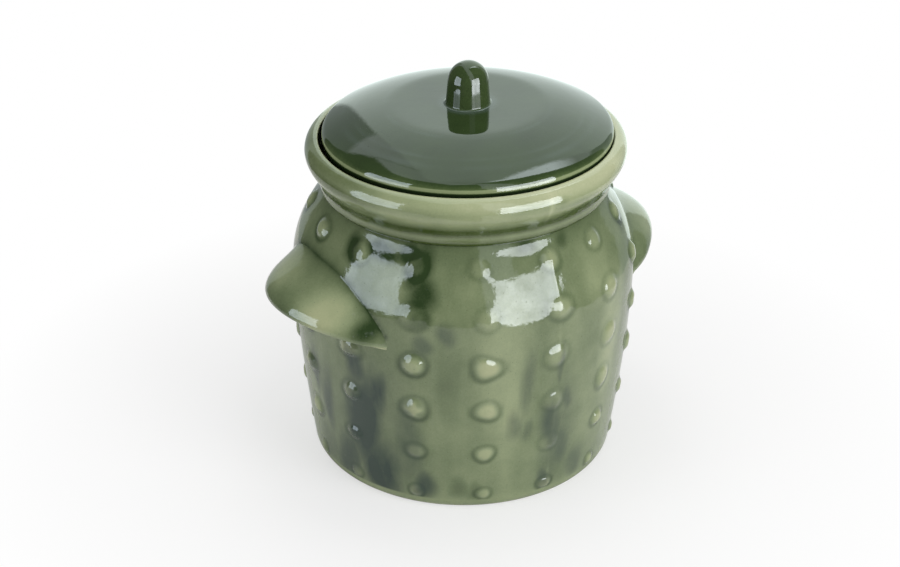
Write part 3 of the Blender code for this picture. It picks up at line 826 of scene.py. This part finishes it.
# Where each lug's glaze is darker or, below zero, paler: (share, rise, half widths, change).
# Mostly glaze; on the left lug two paler patches are painted light
LEFT_LUG_WASHES = (
    (0.8, 0.3, 0.14, 0.24, 0.42),
    (-0.05, 0.35, 0.4, 0.3, 0.16),
    # Painted light: a paler facet on its front half
    (0.46, 0.5, 0.3, 0.4, -0.4),
    # Painted reflection: a paler patch for the backdrop's sheen high on its back half
    (-0.5, 0.75, 0.5, 0.4, -0.28),
    (0.72, 0.02, 0.34, 0.1, -0.3),
    (0.12, 0.03, 0.25, 0.12, 0.3),
)
RIGHT_LUG_WASHES = (
    (0.2, 0.4, 0.5, 0.4, -0.16),
    (-0.5, 0.5, 0.3, 0.4, 0.14),
)


def lug_section(share):
    """One upright slice: rows of (stand-off from the wall, height, glaze), a closed loop."""
    lip_z = LUG_UNDERSIDE + float(lip_rise(share))
    arch_z = LUG_UNDERSIDE + float(arch_rise(share))
    rows = [(-LUG_ROOT, arch_z, 0.9)]
    for t in np.sin(np.linspace(math.pi / 2, 0, 33)):
        z = lip_z + (arch_z - lip_z) * t
        off = float(lug_stand_off(share, t)) - LUG_END_SINK * abs(share) ** 20
        near_arch = math.exp(-(arch_z - z) / (2.2 * MM))
        near_lip = math.exp(-((z - lip_z) / (1.6 * MM)) ** 2)
        glaze = EVEN_GLAZE + 0.42 * near_arch - 0.4 * near_lip
        rows.append((off, max(z, lip_z + LUG_LIP_ROUND), glaze))
    lip_off = rows[-1][0]
    round_r = min(LUG_LIP_ROUND, max(lip_off / 2.5, 0.2 * MM))
    for off, z in arc(lip_off - round_r, lip_z + round_r, round_r, 0, -90, 5)[1:]:
        rows.append((off, z, 0.15))
    hollow_share = abs(share) * LUG_HALF_ANGLE / HOLLOW_HALF_ANGLE
    nose = max(0.0, math.cos(math.pi / 2 * min(1, hollow_share))) ** 0.6
    hollow_off = HOLLOW_REACH * nose
    roof_z = lip_z + (HOLLOW_HEIGHT - LUG_LIP_RISE) * nose
    flat_start = rows[-1][0]
    for i in range(1, 5):
        rows.append((flat_start + (hollow_off - flat_start) * i / 5, lip_z, 0.35))
    for t in np.linspace(0, 1, 15):
        off = hollow_off * math.sqrt(max(0.0, 1 - t ** 3)) - 0.4 * MM
        rows.append((off, lip_z + (roof_z - lip_z) * math.sin(math.pi / 2 * t), 0.6))
    rows.append((-LUG_ROOT, roof_z, 0.9))
    return rows


def lug_wash(share, rise, washes):
    """Darker and paler glaze over a lug, with painted light on the left lug, share 1 being its
    end nearer the front.
    """
    change = 0
    for at_share, at_rise, half_share, half_rise, strength in washes:
        distance = math.hypot((share - at_share) / half_share, (rise - at_rise) / half_rise)
        change += strength * float(wash(distance))
    return change


def make_lug(name, node, turn, washes, finish):
    """A lug whose middle lies at this turn from +X."""
    points, glaze = [], []
    front = -math.copysign(1, math.cos(turn))
    for i in range(LUG_COLUMNS + 1):
        share = -math.cos(math.pi * i / LUG_COLUMNS)
        angle = turn + share * LUG_HALF_ANGLE
        section = lug_section(share)
        for off, z, value in section:
            r = float(wall_radius(z)) + off
            points.append((r * math.cos(angle), r * math.sin(angle), z))
            rise = (z - LUG_UNDERSIDE) / LUG_HEIGHT
            glaze.append(value + lug_wash(share * front, rise, washes))
    faces = swept_faces(LUG_COLUMNS + 1, len(section))
    add_mesh(name, points, faces, (glaze, 0, 0), finish, "crock", "body_glaze", node)


# Weights: the CAD solids' outline with rounder edges

def half_ring(radius):
    start = math.asin(WEIGHT_SPLIT / 2 / radius)
    angles = np.linspace(start, math.pi - start, WEIGHT_STEPS + 1)
    return [(radius * math.cos(a), radius * math.sin(a)) for a in angles]


def make_weight(name, node, side, finish):
    """One half of the split disc. side is 1 towards +Y and -1 towards -Y."""
    low, high = WEIGHT_LOW.z, WEIGHT_HIGH.z
    rings = list(zip(half_ring(WEIGHT_HIGH.x), half_ring(FINGER_HOLE_RADIUS)))
    points = []
    for outer, inner in rings[::side]:
        for (x, y), z in ((outer, high), (outer, low), (inner, low), (inner, high)):
            points.append((x, side * y, z))
    faces = swept_faces(WEIGHT_STEPS + 1, 4)
    body = "front_weight" if side < 0 else "back_weight"
    obj = add_mesh(name, points, faces, (0, 0, 1), finish, body, "weight_clay", node)
    bevel = obj.modifiers.new("Eased edges", "BEVEL")
    bevel.width = WEIGHT_EDGE
    bevel.segments = 5
    bevel.limit_method = "ANGLE"
    bevel.angle_limit = math.radians(50)


# Materials

class Nodes:
    """Short calls for building a node tree."""

    def __init__(self, tree):
        self.tree = tree

    def link(self, source, target):
        self.tree.links.new(source, target)

    def feed(self, socket, value):
        """Sets a socket to a number, colour or vector, or links another socket to it."""
        if isinstance(value, tuple):
            socket.default_value = (*value, 1)[:len(socket.default_value)]
        elif isinstance(value, (int, float)):
            socket.default_value = value
        else:
            self.link(value, socket)

    def add(self, kind, output, inputs=(), **settings):
        """Adds a shader node, feeds its (name or number, value) inputs, returns one output."""
        node = self.tree.nodes.new("ShaderNode" + kind)
        for key, value in settings.items():
            setattr(node, key, value)
        for key, value in inputs:
            self.feed(node.inputs[key], value)
        return node.outputs[output]

    def end(self, surface):
        """Links a surface to the output node that the tree came with."""
        outputs = [node for node in self.tree.nodes if node.type.startswith("OUTPUT_")]
        self.link(surface, outputs[0].inputs["Surface"])

    def attribute(self, name):
        return self.add("Attribute", "Fac", attribute_name=name)

    def position(self, stretch=(1, 1, 1)):
        place = self.add("TexCoord", "Object")
        return self.add("Mapping", "Vector", (("Vector", place), ("Scale", stretch)))

    def noise(self, vector, scale, detail=3, roughness=0.55):
        return self.add("TexNoise", "Fac", (
            ("Vector", vector), ("Scale", scale), ("Detail", detail), ("Roughness", roughness)))

    def dots(self, vector, scale, size):
        """1 inside small dots strewn over the surface, 0 between them."""
        inputs = (("Vector", vector), ("Scale", scale))
        return self.span(self.add("TexVoronoi", "Distance", inputs), size, size * 0.6)

    def math(self, operation, a, b):
        return self.add("Math", 0, ((0, a), (1, b)), operation=operation)

    def times(self, a, b):
        return self.math("MULTIPLY", a, b)

    def span(self, value, from_low, from_high, to_low=0, to_high=1):
        """The value carried from one range to another, and held at its ends."""
        return self.add("MapRange", "Result", (
            ("Value", value), ("From Min", from_low), ("From Max", from_high),
            ("To Min", to_low), ("To Max", to_high)), clamp=True)

    def ramp(self, value, places, colours):
        node = self.tree.nodes.new("ShaderNodeValToRGB")
        elements = node.color_ramp.elements
        while len(elements) < len(places):
            elements.new(0.5)
        for element, place, colour in zip(elements, places, colours):
            element.position = place
            element.color = (*colour, 1)
        self.link(value, node.inputs["Fac"])
        return node.outputs["Color"]

    def mix(self, share, first, second):
        """Two colours mixed. This node's sockets 6 and 7 are its colours."""
        inputs = ((0, share), (6, first), (7, second))
        return self.add("Mix", 2, inputs, data_type="RGBA")

    def bump(self, height, distance, *normal):
        inputs = [("Height", height), ("Distance", distance)]
        return self.add("Bump", "Normal", inputs + [("Normal", n) for n in normal])


# A glaze's colours: thin, light, middle, thick, and what its milky layer brings: a milky
# veil on the body and lid, and painted shade on the collar
BODY_COLOURS = ((0.42, 0.45, 0.26), (0.29, 0.34, 0.19), (0.16, 0.205, 0.105),
                (0.03, 0.055, 0.018), (0.032, 0.056, 0.041))
# The collar's last colour, near black, is painted shade for the gap beside the lid
COLLAR_COLOURS = ((0.5, 0.53, 0.33), (0.36, 0.41, 0.23), (0.24, 0.29, 0.155),
                  (0.06, 0.09, 0.022), (0.006, 0.009, 0.004))
LID_COLOURS = ((0.3, 0.36, 0.19), (0.1, 0.145, 0.055), (0.036, 0.062, 0.02),
               (0.014, 0.026, 0.009), (0.1, 0.14, 0.12))
# The glaze layer's values at which the first four of them stand
GLAZE_STOPS = (0.05, 0.3, 0.55, 0.95)
CLAY = (0.5, 0.43, 0.33)
PALE_CLAY = (0.62, 0.56, 0.46)
IRON = (0.09, 0.06, 0.04)


def scaled(colour, factor):
    return tuple(c * factor for c in colour)


def new_material(name):
    """A new material, the calls for its nodes and its shader's inputs."""
    material = bpy.data.materials.new(name)
    material.use_nodes = True
    tree = material.node_tree
    return material, Nodes(tree), tree.nodes["Principled BSDF"].inputs


def glaze_material(name, colours, roughness, ripple, ior=1.52):
    """A glossy glaze over stoneware: paler where it ran thin, darker where it pooled, and darker
    or paler where its glaze layer carries painted shade and light. Its milky layer brings a milky
    veil, and on the collar painted shade.
    """
    *shades, veil_and_shade = colours
    material, nodes, shader = new_material(name)
    place = nodes.position()
    cloud = nodes.noise(place, 34, 4)
    streak = nodes.noise(nodes.position((1, 1, 0.16)), 90, 3)
    fine = nodes.noise(place, 900, 4, 0.7)
    depth = nodes.attribute("glaze")
    for source, spread in ((cloud, 0.42), (streak, 0.13), (fine, 0.18)):
        depth = nodes.math("ADD", depth, nodes.span(source, 0, 1, -spread / 2, spread / 2))
    colour = nodes.ramp(depth, GLAZE_STOPS, shades)
    wisps = nodes.span(nodes.noise(nodes.position((1, 1, 0.35)), 75, 5), 0.3, 0.7, 0.75, 1.2)
    veil_and_shade_share = nodes.times(nodes.attribute("milky"), wisps)
    colour = nodes.mix(nodes.span(veil_and_shade_share, 0, 1), colour, veil_and_shade)
    specks = nodes.dots(place, 330, 0.1)
    colour = nodes.mix(nodes.times(specks, 0.35), colour, scaled(shades[-1], 0.35))
    bare = nodes.attribute("bare")
    clay = nodes.mix(fine, CLAY, scaled(CLAY, 0.7))
    nodes.link(nodes.mix(bare, colour, clay), shader["Base Color"])
    gloss = nodes.span(cloud, 0.3, 0.8, roughness, roughness * 1.8)
    matt = nodes.times(bare, 0.75)
    nodes.link(nodes.math("MAXIMUM", gloss, matt), shader["Roughness"])
    nodes.feed(shader["IOR"], ior)
    waves = nodes.bump(nodes.noise(place, 150, 2), ripple)
    grain = nodes.math("SUBTRACT", nodes.times(fine, 0.3), specks)
    nodes.link(nodes.bump(grain, ripple * 0.35, waves), shader["Normal"])
    return material


def clay_material(name, colour, dark):
    """Unglazed stoneware with fine grog and iron specks."""
    material, nodes, shader = new_material(name)
    place = nodes.position()
    cloud = nodes.noise(place, 45, 4)
    grain = nodes.noise(place, 1100, 4, 0.7)
    tint = nodes.mix(nodes.span(cloud, 0.3, 0.7, 0, 0.55), colour, dark)
    tint = nodes.mix(nodes.span(grain, 0.4, 0.75, 0, 0.4), tint, scaled(dark, 0.6))
    specks = nodes.times(nodes.dots(place, 420, 0.13), 0.7)
    nodes.link(nodes.mix(specks, tint, IRON), shader["Base Color"])
    nodes.link(nodes.span(grain, 0.2, 0.8, 0.55, 0.8), shader["Roughness"])
    nodes.link(nodes.bump(grain, 0.12 * MM), shader["Normal"])
    return material


# Camera

PHOTO_WIDTH = 900
CAMERA_AZIMUTH = math.radians(-31.8)
CAMERA_ELEVATION = math.radians(29.45)
CAMERA_ROLL = math.radians(0.49)
CAMERA_DISTANCE = 1.2407
CAMERA_TARGET = Vector((0, 0, 0.0886))
CAMERA_LENS = 86.56
CAMERA_SHIFT = (-13.2 / PHOTO_WIDTH, 11.6 / PHOTO_WIDTH)


def direction(azimuth, elevation):
    """Unit vector towards a place round the pot, both angles in radians."""
    return Vector((math.sin(azimuth) * math.cos(elevation),
                   -math.cos(azimuth) * math.cos(elevation), math.sin(elevation)))


def make_camera():
    data = bpy.data.cameras.new("camera")
    data.sensor_width = 36
    data.lens = CAMERA_LENS
    data.shift_x, data.shift_y = CAMERA_SHIFT
    camera = add_object("camera", data)
    back = direction(CAMERA_AZIMUTH, CAMERA_ELEVATION)
    camera.location = CAMERA_TARGET + back * CAMERA_DISTANCE
    aim = (-back).to_track_quat("-Z", "Y").to_matrix()
    camera.rotation_euler = (aim @ Matrix.Rotation(CAMERA_ROLL, 3, "Z")).to_euler()
    bpy.context.scene.camera = camera


# Studio: soft lamps for the colours, panels that only the gloss mirrors, a round table

# (name, degrees round the pot, distance, width, heights, light)
WINDOWS = (
    ("left_window", -93.5, 1.12, 0.76, (-0.1, 0.77), (4.2, 4.75, 5.3)),
    ("right_window", 12, 1.12, 0.94, (-0.2, 0.7), (8.7, 9.2, 9.6)),
)
# A dark panel that keeps the right window off the pot's rim in views from behind: (x, y) of its
# ends, then heights
FLAG_ENDS = ((-0.13, -0.1), (-0.045, -0.1))
FLAG_SPAN = (0.132, 0.34)
FLAG_LIGHT = (0.05, 0.055, 0.055)
# (name, degrees round the pot, degrees up, distance, size, power)
LAMPS = (
    ("left_lamp", -96, 22, 1.6, 1.1, 5),
    ("right_lamp", 18, 30, 1.6, 1.1, 14.5),
    ("top_lamp", 148, 72, 1.7, 1.6, 9),
)
TABLE_RADIUS = 0.44
TABLE_CENTRE = (-0.07, -0.02)
TABLE_COLOUR = (0.9, 0.9, 0.9)
# Two distances from the axis, and the share of plain white that the camera sees there
TABLE_FADE = (0.12, 0.3, 0.6, 1)


def pane_material(name, colour):
    """A window's light, uneven as through a blind."""
    material, nodes, _ = new_material(name)
    uneven = nodes.span(nodes.noise(nodes.position((1, 1, 0.5)), 6), 0.3, 0.7)
    light = nodes.mix(uneven, scaled(colour, 0.7), scaled(colour, 1.25))
    nodes.end(nodes.add("Emission", 0, (("Color", light),)))
    return material


def add_stage(name, points, material):
    """One flat face that isn't part of the pot."""
    mesh = bpy.data.meshes.new(name)
    mesh.from_pydata(points, [], [tuple(range(len(points)))])
    mesh.materials.append(material)
    obj = add_object(name, mesh)
    return obj


def make_panel(name, ends, span, colour):
    """An upright panel between two (x, y) ends, seen only in the glaze's reflections."""
    low, high = [[(x, y, z) for x, y in ends] for z in span]
    panel = add_stage(name, low + high[::-1], pane_material(name, colour))
    panel.visible_camera = False
    panel.visible_diffuse = False
    panel.visible_shadow = False


def make_window(name, degrees, distance, width, span, colour):
    azimuth = math.radians(degrees)
    middle = direction(azimuth, 0) * distance
    across = Vector((math.cos(azimuth), math.sin(azimuth), 0)) * (width / 2)
    make_panel(name, [(middle - across).xy, (middle + across).xy], span, colour)


def make_lamp(name, degrees, elevation, distance, size, power):
    data = bpy.data.lights.new(name, "AREA")
    data.shape = "DISK"
    data.size = size
    data.energy = power
    lamp = add_object(name, data)
    towards = direction(math.radians(degrees), math.radians(elevation))
    lamp.location = CAMERA_TARGET + towards * distance
    lamp.rotation_euler = towards.to_track_quat("Z", "Y").to_euler()
    lamp.visible_glossy = False


def make_table():
    """A round white table that fades into the white background away from the pot."""
    x, y = TABLE_CENTRE
    points = [(x + TABLE_RADIUS * math.cos(a), y + TABLE_RADIUS * math.sin(a), 0)
              for a in even_angles(128)]
    material, nodes, _ = new_material("table")
    matt = nodes.add("BsdfDiffuse", 0, (("Color", TABLE_COLOUR),))
    white = nodes.add("Emission", 0)
    place = nodes.add("TexCoord", "Object")
    length = nodes.add("VectorMath", "Value", ((0, place),), operation="LENGTH")
    camera_ray = nodes.add("LightPath", "Is Camera Ray")
    share = nodes.times(nodes.span(length, *TABLE_FADE), camera_ray)
    nodes.end(nodes.add("MixShader", 0, ((0, share), (1, matt), (2, white))))
    add_stage("table", points, material)


AMBIENT = (0.36, 0.36, 0.36)
WHITE = (1.0, 1.0, 1.0)
# The studio's back as the lid mirrors it: a tall backdrop between two leaning edges, dim walls
# beside it, the ceiling and a narrow bright strip. Azimuths and elevations in degrees.
ROOM_LIGHT = (0.08, 0.08, 0.08)
BACKDROP_EDGES = ((72.9, 10.7), (204, 5))
BACKDROP_LIGHT = (1.3, 1.46, 1.42)
WALL_SIDES = (93, 187)
WALL_LIGHT = (0.42, 0.46, 0.48)
WALL_TOP = 36
CEILING_EDGE = (77, 17.7)
CEILING_LIGHT = (1.05, 1.12, 1.18)
STRIP_SIDES = (95, 108)
STRIP_START = 50
STRIP_LIGHT = (4.4, 4.9, 5.1)
TOP_END = 80
EDGE_SOFTNESS = 0.01


def make_world():
    """White where the camera or glass sees past the object; gloss mirrors a dim studio."""
    world = bpy.data.worlds.new("studio")
    bpy.context.scene.world = world
    world.use_nodes = True
    world.cycles.sampling_method = "NONE"
    nodes = Nodes(world.node_tree)
    towards = nodes.add("TexCoord", "Generated")

    def facing(azimuth, elevation, soft=EDGE_SOFTNESS, middle=0):
        """1 where the direction leans past the plane facing (azimuth, elevation), 0 behind it."""
        normal = tuple(direction(math.radians(azimuth), math.radians(elevation)))
        cosine = nodes.add("VectorMath", "Value", ((0, towards), (1, normal)),
                           operation="DOT_PRODUCT")
        return nodes.span(cosine, middle - soft, middle + soft)

    def between(start, end, soft):
        return nodes.times(facing(start + 90, 0, soft), facing(end - 90, 0, soft))

    def above(elevation, soft):
        return facing(0, 90, soft, math.sin(math.radians(elevation)))

    below_top = nodes.math("SUBTRACT", 1.0, above(TOP_END, EDGE_SOFTNESS))
    walls = between(*WALL_SIDES, 0.012)
    beyond = nodes.times(facing(WALL_SIDES[1] + 90, 0), facing(*CEILING_EDGE))
    ceiling = nodes.math("MAXIMUM", nodes.times(walls, above(WALL_TOP, 0.02)), beyond)
    edges = [facing(*edge) for edge in BACKDROP_EDGES]
    backdrop = nodes.times(nodes.times(*edges), below_top)
    strip = nodes.times(between(*STRIP_SIDES, 0.015), above(STRIP_START, 0.06))
    strip = nodes.times(strip, below_top)
    mirrored = nodes.mix(walls, ROOM_LIGHT, WALL_LIGHT)
    mirrored = nodes.mix(ceiling, mirrored, CEILING_LIGHT)
    mirrored = nodes.mix(backdrop, mirrored, BACKDROP_LIGHT)
    mirrored = nodes.mix(strip, mirrored, STRIP_LIGHT)
    camera_ray, passing_ray, glossy_ray = [
        nodes.add("LightPath", "Is " + kind + " Ray")
        for kind in ("Camera", "Transmission", "Glossy")]
    colour = nodes.mix(glossy_ray, AMBIENT, mirrored)
    colour = nodes.mix(nodes.math("MAXIMUM", camera_ray, passing_ray), colour, WHITE)
    nodes.end(nodes.add("Background", 0, (("Color", colour),)))


def main():
    make_camera()
    body = glaze_material("body_glaze", BODY_COLOURS, roughness=0.035, ripple=0.13 * MM)
    collar = glaze_material("collar_glaze", COLLAR_COLOURS, roughness=0.045, ripple=0.1 * MM)
    lid = glaze_material("lid_glaze", LID_COLOURS, roughness=0.018, ripple=0.04 * MM, ior=1.57)
    clay = clay_material("weight_clay", PALE_CLAY, CLAY)
    make_vessel(body)
    make_collar(collar)
    make_lug("left_lug_glazed", "left_handle", math.pi, LEFT_LUG_WASHES, body)
    make_lug("right_lug_glazed", "right_handle", 0, RIGHT_LUG_WASHES, body)
    make_lid(lid)
    make_knob(lid)
    make_weight("front_weight_clay", "front_weight_half", -1, clay)
    make_weight("back_weight_clay", "back_weight_half", 1, clay)
    for window in WINDOWS:
        make_window(*window)
    make_panel("dark_flag", FLAG_ENDS, FLAG_SPAN, FLAG_LIGHT)
    for lamp in LAMPS:
        make_lamp(*lamp)
    make_table()
    make_world()
    bpy.context.scene.view_settings.view_transform = "Standard"


main()
